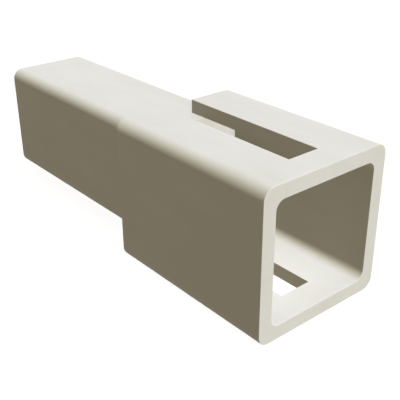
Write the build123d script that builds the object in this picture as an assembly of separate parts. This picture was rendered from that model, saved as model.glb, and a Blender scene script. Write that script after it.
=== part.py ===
from build123d import *
import os

# Terminal housing: one nylon moulding, in millimetres.
# X runs across, Y from the mating end (low) to the wire end (high), Z up.
# The origin is on the resting plane, under the middle of the housing's length.

# Square body that the mating connector plugs into
body_width = 10.5
body_height = 10.5
body_length = 14.0
body_wall = 1.0
body_corner_radius = 0.8
cavity_corner_radius = 0.65
rear_wall = 1.35           # closes the cavity, between it and the step down to the tail

# Latch slots in the top and the bottom of the body, open towards the wire end
slot_width = 2.5
slot_setback = 2.05        # from the front rim to the closed end

# Tail that holds the terminal and its wire
tail_width = 7.1
tail_length = 18.2         # beyond the body
tail_wall = 1.0
tail_corner_radius = 0.8
passage_corner_radius = 0.5

# Collar that the terminal's shoulder stops against, where the passage meets the cavity
collar_depth = 2.8         # from the cavity's floor to the shoulder
collar_ledge = 0.4         # how far it stands in from the passage's walls
collar_lead_in = 0.2       # chamfer that guides the terminal's nose in
mouth_lead_in = 0.4        # chamfer of the passage's mouth at the wire end

# Places along the housing
overall_length = body_length + tail_length
front_y = -overall_length / 2
shoulder_y = front_y + body_length
rear_y = shoulder_y + tail_length
cavity_floor_y = shoulder_y - rear_wall
collar_y = cavity_floor_y + collar_depth
axis_height = body_height / 2

# Sizes that follow from the walls
cavity_width = body_width - 2 * body_wall
cavity_height = body_height - 2 * body_wall
tail_height = cavity_height            # the tail runs on flush from the floors of the two slots
passage_width = tail_width - 2 * tail_wall
passage_height = tail_height - 2 * tail_wall
window_width = passage_width - 2 * collar_ledge
window_height = passage_height - 2 * collar_ledge
window_corner_radius = passage_corner_radius / 2


def cross_section(y, width, height, radius):
    # Rounded rectangle across the housing at y, centred on its axis
    plane = Plane(origin=(0, y, axis_height), x_dir=(1, 0, 0), z_dir=(0, 1, 0))
    return plane * RectangleRounded(width, height, radius)


def straight_run(y_from, y_to, width, height, radius):
    # The same section from one y to the other
    return extrude(cross_section(y_from, width, height, radius), amount=y_to - y_from)


def flare(y_narrow, y_wide, width, height, radius):
    # A 45 degree lead-in: it grows on every side by its own length
    growth = abs(y_wide - y_narrow)
    narrow = cross_section(y_narrow, width, height, radius)
    wide = cross_section(y_wide, width + 2 * growth, height + 2 * growth, radius + growth)
    return loft([narrow, wide], ruled=True)


def outer_form():
    body = straight_run(front_y, shoulder_y, body_width, body_height, body_corner_radius)
    tail = straight_run(shoulder_y, rear_y, tail_width, tail_height, tail_corner_radius)
    return body + tail


def mating_cavity():
    return straight_run(front_y, cavity_floor_y, cavity_width, cavity_height, cavity_corner_radius)


def terminal_passage():
    # Window through the collar, its lead-in, the long passage and the mouth's lead-in
    window = straight_run(cavity_floor_y, collar_y, window_width, window_height, window_corner_radius)
    window_flare = flare(
        collar_y - collar_lead_in, collar_y, window_width, window_height, window_corner_radius
    )
    passage = straight_run(collar_y, rear_y, passage_width, passage_height, passage_corner_radius)
    mouth_flare = flare(
        rear_y - mouth_lead_in, rear_y, passage_width, passage_height, passage_corner_radius
    )
    return window + window_flare + passage + mouth_flare


def latch_slots():
    # A straight cut through the top wall and one through the bottom wall
    length = body_length - slot_setback
    middle_y = front_y + slot_setback + length / 2
    wall_offset = axis_height - body_wall / 2
    cut = Box(slot_width, length, body_wall)
    return [Pos(0, middle_y, axis_height + side * wall_offset) * cut for side in (-1, 1)]


def build_housing():
    housing = outer_form() - mating_cavity() - terminal_passage()
    for slot in latch_slots():
        housing = housing - slot
    return housing


os.makedirs("parts", exist_ok=True)
housing = build_housing()
export_step(housing, "parts/housing.step")
print("housing volume", round(housing.volume, 2), "mm3, solids", len(housing.solids()))
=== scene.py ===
import bpy
import bmesh
from math import radians, sin, cos, pi
from mathutils import Matrix, Quaternion, Vector


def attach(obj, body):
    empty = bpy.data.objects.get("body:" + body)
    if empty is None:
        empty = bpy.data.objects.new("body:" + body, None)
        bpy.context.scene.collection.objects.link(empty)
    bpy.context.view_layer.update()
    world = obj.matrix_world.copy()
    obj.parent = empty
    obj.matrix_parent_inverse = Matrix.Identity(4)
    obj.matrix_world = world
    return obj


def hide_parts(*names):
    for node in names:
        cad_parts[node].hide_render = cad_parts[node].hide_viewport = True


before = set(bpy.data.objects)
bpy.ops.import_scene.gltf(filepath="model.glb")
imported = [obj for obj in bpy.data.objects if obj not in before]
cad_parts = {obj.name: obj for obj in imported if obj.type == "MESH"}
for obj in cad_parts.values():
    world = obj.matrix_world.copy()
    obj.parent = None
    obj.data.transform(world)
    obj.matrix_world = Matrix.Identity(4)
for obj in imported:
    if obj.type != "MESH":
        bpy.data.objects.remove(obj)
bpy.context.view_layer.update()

scene = bpy.context.scene
mm = 0.001


# Camera, in the photograph's place
photoCamera = {
    "azimuth": -39.807,  # degrees round from the front, towards the left side
    "elevation": 26.736,
    "roll": 0.396,
    "aim": (1.352 * mm, -2.837 * mm, 2.711 * mm),
    "distance": 54.903 * mm,
    "lens": 65.392,
    "sensorWidth": 36,
    "nearest": 1 * mm,  # limits of what the camera sees
    "farthest": 5,
}


def directionFrom(azimuth, elevation):
    # From the object towards a place round it: azimuth 0 is the front, 90 the right side
    turn, lift = radians(azimuth), radians(elevation)
    return Vector((sin(turn) * cos(lift), -cos(turn) * cos(lift), sin(lift)))


def makeCamera(values):
    back = directionFrom(values["azimuth"], values["elevation"])
    data = bpy.data.cameras.new("photoCamera")
    data.lens = values["lens"]
    data.sensor_width = values["sensorWidth"]
    data.clip_start = values["nearest"]
    data.clip_end = values["farthest"]
    camera = bpy.data.objects.new("photoCamera", data)
    scene.collection.objects.link(camera)
    camera.location = Vector(values["aim"]) + back * values["distance"]
    camera.rotation_mode = "QUATERNION"
    tilt = Quaternion((0, 0, 1), radians(-values["roll"]))
    camera.rotation_quaternion = (-back).to_track_quat("-Z", "Y") @ tilt
    scene.camera = camera


makeCamera(photoCamera)
print("camera done")


# Node helpers
def addNode(tree, kind, values=None, **settings):
    node = tree.nodes.new(kind)
    for name, value in settings.items():
        setattr(node, name, value)
    for name, value in (values or {}).items():
        node.inputs[name].default_value = value
    return node


def emptyMaterial(name):
    material = bpy.data.materials.new(name)
    material.use_nodes = True
    material.node_tree.nodes.clear()
    return material


# A Mix node's inputs 2 and 3 and output 0 are numbers, its inputs 6 and 7 and output 2 are colours
def mixNumbers(tree, share, first, second):
    mix = addNode(tree, "ShaderNodeMix", data_type="FLOAT")
    for value, socket in ((share, mix.inputs[0]), (first, mix.inputs[2]), (second, mix.inputs[3])):
        if isinstance(value, float):
            socket.default_value = value
        else:
            tree.links.new(value, socket)
    return mix.outputs[0]


def mixColours(tree, share, first, second):
    mix = addNode(tree, "ShaderNodeMix", data_type="RGBA")
    tree.links.new(share, mix.inputs[0])
    for colour, socket in ((first, mix.inputs[6]), (second, mix.inputs[7])):
        if isinstance(colour, tuple):
            socket.default_value = (*colour, 1)
        else:
            tree.links.new(colour, socket)
    return mix.outputs[2]


def scaled(tree, value, factor):
    product = addNode(tree, "ShaderNodeMath", {1: factor}, operation="MULTIPLY")
    tree.links.new(value, product.inputs[0])
    return product.outputs[0]


def seenByEye(tree):
    # 1 where a ray comes straight from the camera, or off a gloss or through glass
    path = addNode(tree, "ShaderNodeLightPath")
    first = addNode(tree, "ShaderNodeMath", operation="MAXIMUM")
    both = addNode(tree, "ShaderNodeMath", operation="MAXIMUM")
    tree.links.new(path.outputs["Is Camera Ray"], first.inputs[0])
    tree.links.new(path.outputs["Is Glossy Ray"], first.inputs[1])
    tree.links.new(first.outputs[0], both.inputs[0])
    tree.links.new(path.outputs["Is Transmission Ray"], both.inputs[1])
    return both.outputs[0]


# Lamps. "light" is what a white face square to the lamp sends back, in red, green and blue,
# and the angles are in degrees.
# Only the soft one throws shadows and highlights. The others light the forms alone, also inside the
# cavity, as in the photograph.
studioLamps = {
    "keyLamp": {"azimuth": 6, "elevation": 30, "light": (0.92, 0.915, 0.897), "softness": 12},
    "topLamp": {"azimuth": 90, "elevation": 86, "light": (0.22, 0.23, 0.125), "softness": 12},
    "coolLamp": {"azimuth": 90, "elevation": 58, "light": (0.213, 0.214, 0.397), "softness": 12},
    "leftFill": {"azimuth": -90, "elevation": 0, "light": (0.166, 0.144, 0.103), "softness": 12},
    "rightFill": {"azimuth": 90, "elevation": 0, "light": (0.20, 0.18, 0.06), "softness": 12},
    "backFill": {"azimuth": 180, "elevation": 0, "light": (0.36, 0.34, 0.30), "softness": 12},
    "underFill": {"azimuth": 0, "elevation": -90, "light": (0.13, 0.128, 0.12), "softness": 12},
    "softLamp": {
        "azimuth": 15,
        "elevation": 72,
        "light": (0.06, 0.06, 0.06),
        "softness": 70,
        "shadow": True,
    },
}
softBounces = 8  # of the soft lamp's light. The others' isn't bounced.
studioSky = {"colour": (1.0, 0.93, 0.78), "strength": 0.03}


def makeLamp(name, values):
    brightest = max(values["light"])
    shadow = values.get("shadow", False)
    data = bpy.data.lights.new(name, "SUN")
    data.energy = brightest * pi
    data.color = [part / brightest for part in values["light"]]
    data.angle = radians(values["softness"])
    data.use_shadow = shadow
    data.cycles.max_bounces = softBounces if shadow else 0
    lamp = bpy.data.objects.new(name, data)
    scene.collection.objects.link(lamp)
    lamp.visible_glossy = shadow
    back = directionFrom(values["azimuth"], values["elevation"])
    lamp.rotation_mode = "QUATERNION"
    lamp.rotation_quaternion = (-back).to_track_quat("-Z", "Y")


def makeSky(values):
    world = bpy.data.worlds.new("studio")
    world.use_nodes = True
    scene.world = world
    tree = world.node_tree
    tree.nodes.clear()
    seen = seenByEye(tree)
    fill = addNode(
        tree, "ShaderNodeBackground", {"Color": (*values["colour"], 1), "Strength": values["strength"]}
    )
    white = addNode(tree, "ShaderNodeBackground", {"Color": (1, 1, 1, 1), "Strength": 1})
    mix = addNode(tree, "ShaderNodeMixShader")
    result = addNode(tree, "ShaderNodeOutputWorld")
    tree.links.new(seen, mix.inputs["Fac"])
    tree.links.new(fill.outputs[0], mix.inputs[1])
    tree.links.new(white.outputs[0], mix.inputs[2])
    tree.links.new(mix.outputs[0], result.inputs["Surface"])


# Lamps inside the cavity, which give its floor and its rear face back what the walls keep out.
# Their spread, in degrees, is narrow, so that they light the side walls less than these.
cavityLamps = {
    "cavityFloorLamp": {
        "place": (0, -10.3 * mm, 9.4 * mm),
        "towards": (0, 0, -1),
        "width": 7.5 * mm,
        "length": 11 * mm,
        "power": 0.000062,
        "spread": 50,
    },
    "cavityRearLamp": {
        "place": (0, -15.9 * mm, 5.25 * mm),
        "towards": (0, 1, 0),
        "width": 7.5 * mm,
        "length": 7.5 * mm,
        "power": 0.000014,
        "spread": 6,
    },
}


def makeCavityLamp(name, values):
    data = bpy.data.lights.new(name, "AREA")
    data.shape = "RECTANGLE"
    data.size = values["width"]
    data.size_y = values["length"]
    data.energy = values["power"]
    data.spread = radians(values["spread"])
    data.cycles.max_bounces = 0
    lamp = bpy.data.objects.new(name, data)
    scene.collection.objects.link(lamp)
    lamp.location = values["place"]
    lamp.rotation_mode = "QUATERNION"
    lamp.rotation_quaternion = Vector(values["towards"]).to_track_quat("-Z", "Y")
    lamp.visible_glossy = False
    lamp.visible_camera = False


for lampName, lampValues in studioLamps.items():
    makeLamp(lampName, lampValues)
for lampName, lampValues in cavityLamps.items():
    makeCavityLamp(lampName, lampValues)
makeSky(studioSky)
print("lamps done")


# Floor: white to the camera, with the object's soft shadow, and a warm bounce up on the object
studioFloor = {
    "size": 4.0,
    "seenColour": (0.97, 0.957, 0.915),
    "seenGlow": 0.10,
    "bounceColour": (0.6, 0.5, 0.32),
}


def makeFloorMaterial(values):
    material = emptyMaterial("studioFloor")
    tree = material.node_tree
    seen = seenByEye(tree)
    shown = addNode(tree, "ShaderNodeBsdfDiffuse", {"Color": (*values["seenColour"], 1)})
    glow = addNode(tree, "ShaderNodeEmission", {"Color": (1, 1, 1, 1), "Strength": values["seenGlow"]})
    bright = addNode(tree, "ShaderNodeAddShader")
    bounce = addNode(tree, "ShaderNodeBsdfDiffuse", {"Color": (*values["bounceColour"], 1)})
    mix = addNode(tree, "ShaderNodeMixShader")
    result = addNode(tree, "ShaderNodeOutputMaterial")
    tree.links.new(shown.outputs[0], bright.inputs[0])
    tree.links.new(glow.outputs[0], bright.inputs[1])
    tree.links.new(seen, mix.inputs["Fac"])
    tree.links.new(bounce.outputs[0], mix.inputs[1])
    tree.links.new(bright.outputs[0], mix.inputs[2])
    side = addNode(tree, "ShaderNodeNewGeometry")
    below = addNode(tree, "ShaderNodeBsdfTransparent")
    whole = addNode(tree, "ShaderNodeMixShader")
    tree.links.new(side.outputs["Backfacing"], whole.inputs["Fac"])
    tree.links.new(mix.outputs[0], whole.inputs[1])
    tree.links.new(below.outputs[0], whole.inputs[2])
    tree.links.new(whole.outputs[0], result.inputs["Surface"])
    return material


def makeFloor(values):
    half = values["size"] / 2
    mesh = bpy.data.meshes.new("studioFloor")
    corners = [(-half, -half, 0), (half, -half, 0), (half, half, 0), (-half, half, 0)]
    mesh.from_pydata(corners, [], [(0, 1, 2, 3)])
    mesh.materials.append(makeFloorMaterial(values))
    floor = bpy.data.objects.new("studioFloor", mesh)
    scene.collection.objects.link(floor)


makeFloor(studioFloor)
print("floor done")


# Effects of moulded plastic, each a node group
noiseRoughness = 0.55


def startGroup(name, inputs, outputs):
    group = bpy.data.node_groups.new(name, "ShaderNodeTree")
    for label, value in inputs.items():
        socket = group.interface.new_socket(name=label, in_out="INPUT", socket_type="NodeSocketFloat")
        socket.default_value = value
    for label in outputs:
        group.interface.new_socket(name=label, in_out="OUTPUT", socket_type="NodeSocketFloat")
    return group, addNode(group, "NodeGroupInput"), addNode(group, "NodeGroupOutput")


def stretchedNoise(group, stretch, size, detail):
    # Noise whose features have the given size across, and are 1 / stretch times longer along Y
    place = addNode(group, "ShaderNodeTexCoord")
    shape = addNode(group, "ShaderNodeMapping", {"Scale": (1, stretch, 1)})
    scale = addNode(group, "ShaderNodeMath", {0: 1.0}, operation="DIVIDE")
    noise = addNode(group, "ShaderNodeTexNoise", {"Detail": detail, "Roughness": noiseRoughness})
    group.links.new(place.outputs["Object"], shape.inputs["Vector"])
    group.links.new(shape.outputs["Vector"], noise.inputs["Vector"])
    group.links.new(size, scale.inputs[1])
    group.links.new(scale.outputs[0], noise.inputs["Scale"])
    return noise.outputs["Fac"]


meltLook = {
    "cloudSize": 4 * mm,
    "cloudStretch": 0.5,
    "cloudDetail": 3.0,
    "streakSize": 0.7 * mm,
    "streakStretch": 0.12,
    "streakDetail": 2.0,
}


def makeMeltCloud(values):
    # The melt's cloudiness and the faint streaks in the direction that it flowed, each from 0 to 1
    inputs = {"Cloud Size": values["cloudSize"], "Streak Size": values["streakSize"]}
    group, given, result = startGroup("meltCloud", inputs, ["Cloud", "Streak"])
    sizes = given.outputs
    cloud = stretchedNoise(group, values["cloudStretch"], sizes["Cloud Size"], values["cloudDetail"])
    streak = stretchedNoise(group, values["streakStretch"], sizes["Streak Size"], values["streakDetail"])
    group.links.new(cloud, result.inputs["Cloud"])
    group.links.new(streak, result.inputs["Streak"])
    return group


grainLook = {
    "grainSize": 0.12 * mm,
    "grainDetail": 2.0,
    "lineSize": 0.1 * mm,
    "lineStretch": 0.02,
    "lineDetail": 1.0,
    "lineShare": 0.2,
}


def makeMouldGrain(values):
    # What the mould's wall leaves: satin grain, and fine lines along the pull
    inputs = {
        "Grain Size": values["grainSize"],
        "Line Size": values["lineSize"],
        "Line Share": values["lineShare"],
    }
    group, given, result = startGroup("mouldGrain", inputs, ["Grain", "Height"])
    sizes = given.outputs
    grain = stretchedNoise(group, 1.0, sizes["Grain Size"], values["grainDetail"])
    lines = stretchedNoise(group, values["lineStretch"], sizes["Line Size"], values["lineDetail"])
    group.links.new(grain, result.inputs["Grain"])
    group.links.new(mixNumbers(group, sizes["Line Share"], grain, lines), result.inputs["Height"])
    return group


rubLook = {
    "reach": 0.3 * mm,
    "samples": 12,
    "faint": 0.95,  # how open the form is inwards, from 0 to 1, where the rub begins
    "full": 0.45,  # and where it is full
    "patchSize": 1.5 * mm,
    "patchDetail": 3.0,
    "patchRange": (0.35, 0.65),  # of the noise
    "leastRub": 0.35,
}


def makeEdgeRub(values):
    # 1 on the outer edges, falling to 0 at the given reach, and broken up as by handling
    inputs = {"Reach": values["reach"], "Patch Size": values["patchSize"]}
    group, given, result = startGroup("edgeRub", inputs, ["Edge"])
    inside = addNode(
        group, "ShaderNodeAmbientOcclusion", samples=values["samples"], inside=True, only_local=True
    )
    edge = addNode(group, "ShaderNodeMapRange", {"From Min": values["faint"], "From Max": values["full"]})
    low, high = values["patchRange"]
    patches = addNode(
        group, "ShaderNodeMapRange", {"From Min": low, "From Max": high, "To Min": values["leastRub"]}
    )
    both = addNode(group, "ShaderNodeMath", operation="MULTIPLY", use_clamp=True)
    group.links.new(given.outputs["Reach"], inside.inputs["Distance"])
    group.links.new(inside.outputs["AO"], edge.inputs["Value"])
    noise = stretchedNoise(group, 1.0, given.outputs["Patch Size"], values["patchDetail"])
    group.links.new(noise, patches.inputs["Value"])
    group.links.new(edge.outputs["Result"], both.inputs[0])
    group.links.new(patches.outputs["Result"], both.inputs[1])
    group.links.new(both.outputs[0], result.inputs["Edge"])
    return group


meltCloud = makeMeltCloud(meltLook)
mouldGrain = makeMouldGrain(grainLook)
edgeRub = makeEdgeRub(rubLook)
print("effects done")


# Natural nylon, as moulded
nylonFinish = {
    "paleColour": (0.815, 0.80, 0.742),
    "deepColour": (0.755, 0.738, 0.662),
    "rubbedColour": (0.83, 0.82, 0.775),
    "rubbedShare": 0.5,
    "streakShare": 0.3,
    "meltRange": (0.3, 0.7),  # of the cloud and streaks, from the pale to the deep colour
    "smoothRoughness": 0.48,
    "roughRoughness": 0.68,
    "cloudGlossShare": 0.5,  # of the roughness, against the grain's
    "grainDepth": 0.009 * mm,
    "refraction": 1.53,
}


def makeNylon(values):
    material = emptyMaterial("naturalNylon")
    tree = material.node_tree
    cloud = addNode(tree, "ShaderNodeGroup", node_tree=meltCloud)
    grain = addNode(tree, "ShaderNodeGroup", node_tree=mouldGrain)
    rub = addNode(tree, "ShaderNodeGroup", node_tree=edgeRub)
    shader = addNode(tree, "ShaderNodeBsdfPrincipled", {"IOR": values["refraction"]})
    bump = addNode(tree, "ShaderNodeBump", {"Strength": 1.0, "Distance": values["grainDepth"]})
    result = addNode(tree, "ShaderNodeOutputMaterial")
    melt = mixNumbers(tree, values["streakShare"], cloud.outputs["Cloud"], cloud.outputs["Streak"])
    low, high = values["meltRange"]
    spread = addNode(tree, "ShaderNodeMapRange", {"From Min": low, "From Max": high})
    tree.links.new(melt, spread.inputs["Value"])
    body = mixColours(tree, spread.outputs["Result"], values["paleColour"], values["deepColour"])
    rubbed = scaled(tree, rub.outputs["Edge"], values["rubbedShare"])
    colour = mixColours(tree, rubbed, body, values["rubbedColour"])
    satin = mixNumbers(
        tree, values["cloudGlossShare"], grain.outputs["Grain"], spread.outputs["Result"]
    )
    rough = mixNumbers(tree, satin, values["smoothRoughness"], values["roughRoughness"])
    tree.links.new(colour, shader.inputs["Base Color"])
    tree.links.new(mixNumbers(tree, rubbed, rough, values["smoothRoughness"]), shader.inputs["Roughness"])
    tree.links.new(grain.outputs["Height"], bump.inputs["Height"])
    tree.links.new(bump.outputs["Normal"], shader.inputs["Normal"])
    tree.links.new(shader.outputs["BSDF"], result.inputs["Surface"])
    return material


naturalNylon = makeNylon(nylonFinish)
print("nylon done")


# The moulding: the frame's own form, with the small edge radii that a mould leaves
moulding = {
    "weldDistance": 0.0005 * mm,
    "flatAngle": 1.0,  # degrees, under which two facets count as one flat face
    "edgeRadius": 0.025 * mm,
    "edgeSteps": 3,
    "sharpAngle": 35.0,  # degrees, more than between the facets of a rounding
    "flatWeight": 100,  # the most, so that the flat faces keep their own normals
    "workScale": 1024,  # a power of two, so that no size is rounded
}


def copyForm(values):
    # The node's mesh is loose triangles, so its copy is welded and its flat faces are made whole
    form = bmesh.new()
    form.from_mesh(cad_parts["housing"].data)
    bmesh.ops.remove_doubles(form, verts=form.verts, dist=values["weldDistance"])
    bmesh.ops.dissolve_limit(
        form, angle_limit=radians(values["flatAngle"]), verts=form.verts, edges=form.edges
    )
    for face in form.faces:
        face.smooth = True
    return form


def finishEdges(piece, values):
    # Done at a larger size, because Weighted Normal skips corners whose faces are under a square mm
    grown = values["workScale"]
    rough = piece.data
    rough.transform(Matrix.Scale(grown, 4))
    edges = piece.modifiers.new("edgeRadius", "BEVEL")
    edges.width = values["edgeRadius"] * grown
    edges.segments = values["edgeSteps"]
    edges.limit_method = "ANGLE"
    edges.angle_limit = radians(values["sharpAngle"])
    shading = piece.modifiers.new("flatFaces", "WEIGHTED_NORMAL")
    shading.weight = values["flatWeight"]
    finished = piece.evaluated_get(bpy.context.evaluated_depsgraph_get())
    mesh = bpy.data.meshes.new_from_object(finished)
    mesh.transform(Matrix.Scale(1 / grown, 4))
    piece.modifiers.clear()
    piece.data = mesh
    bpy.data.meshes.remove(rough)
    mesh.name = piece.name


def makeMoulding(values):
    form = copyForm(values)
    mesh = bpy.data.meshes.new("mouldedHousing")
    form.to_mesh(mesh)
    form.free()
    mesh.materials.append(naturalNylon)
    piece = bpy.data.objects.new("mouldedHousing", mesh)
    scene.collection.objects.link(piece)
    finishEdges(piece, values)
    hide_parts("housing")
    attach(piece, "root")


makeMoulding(moulding)
print("moulding done")

scene.view_settings.view_transform = "Standard"
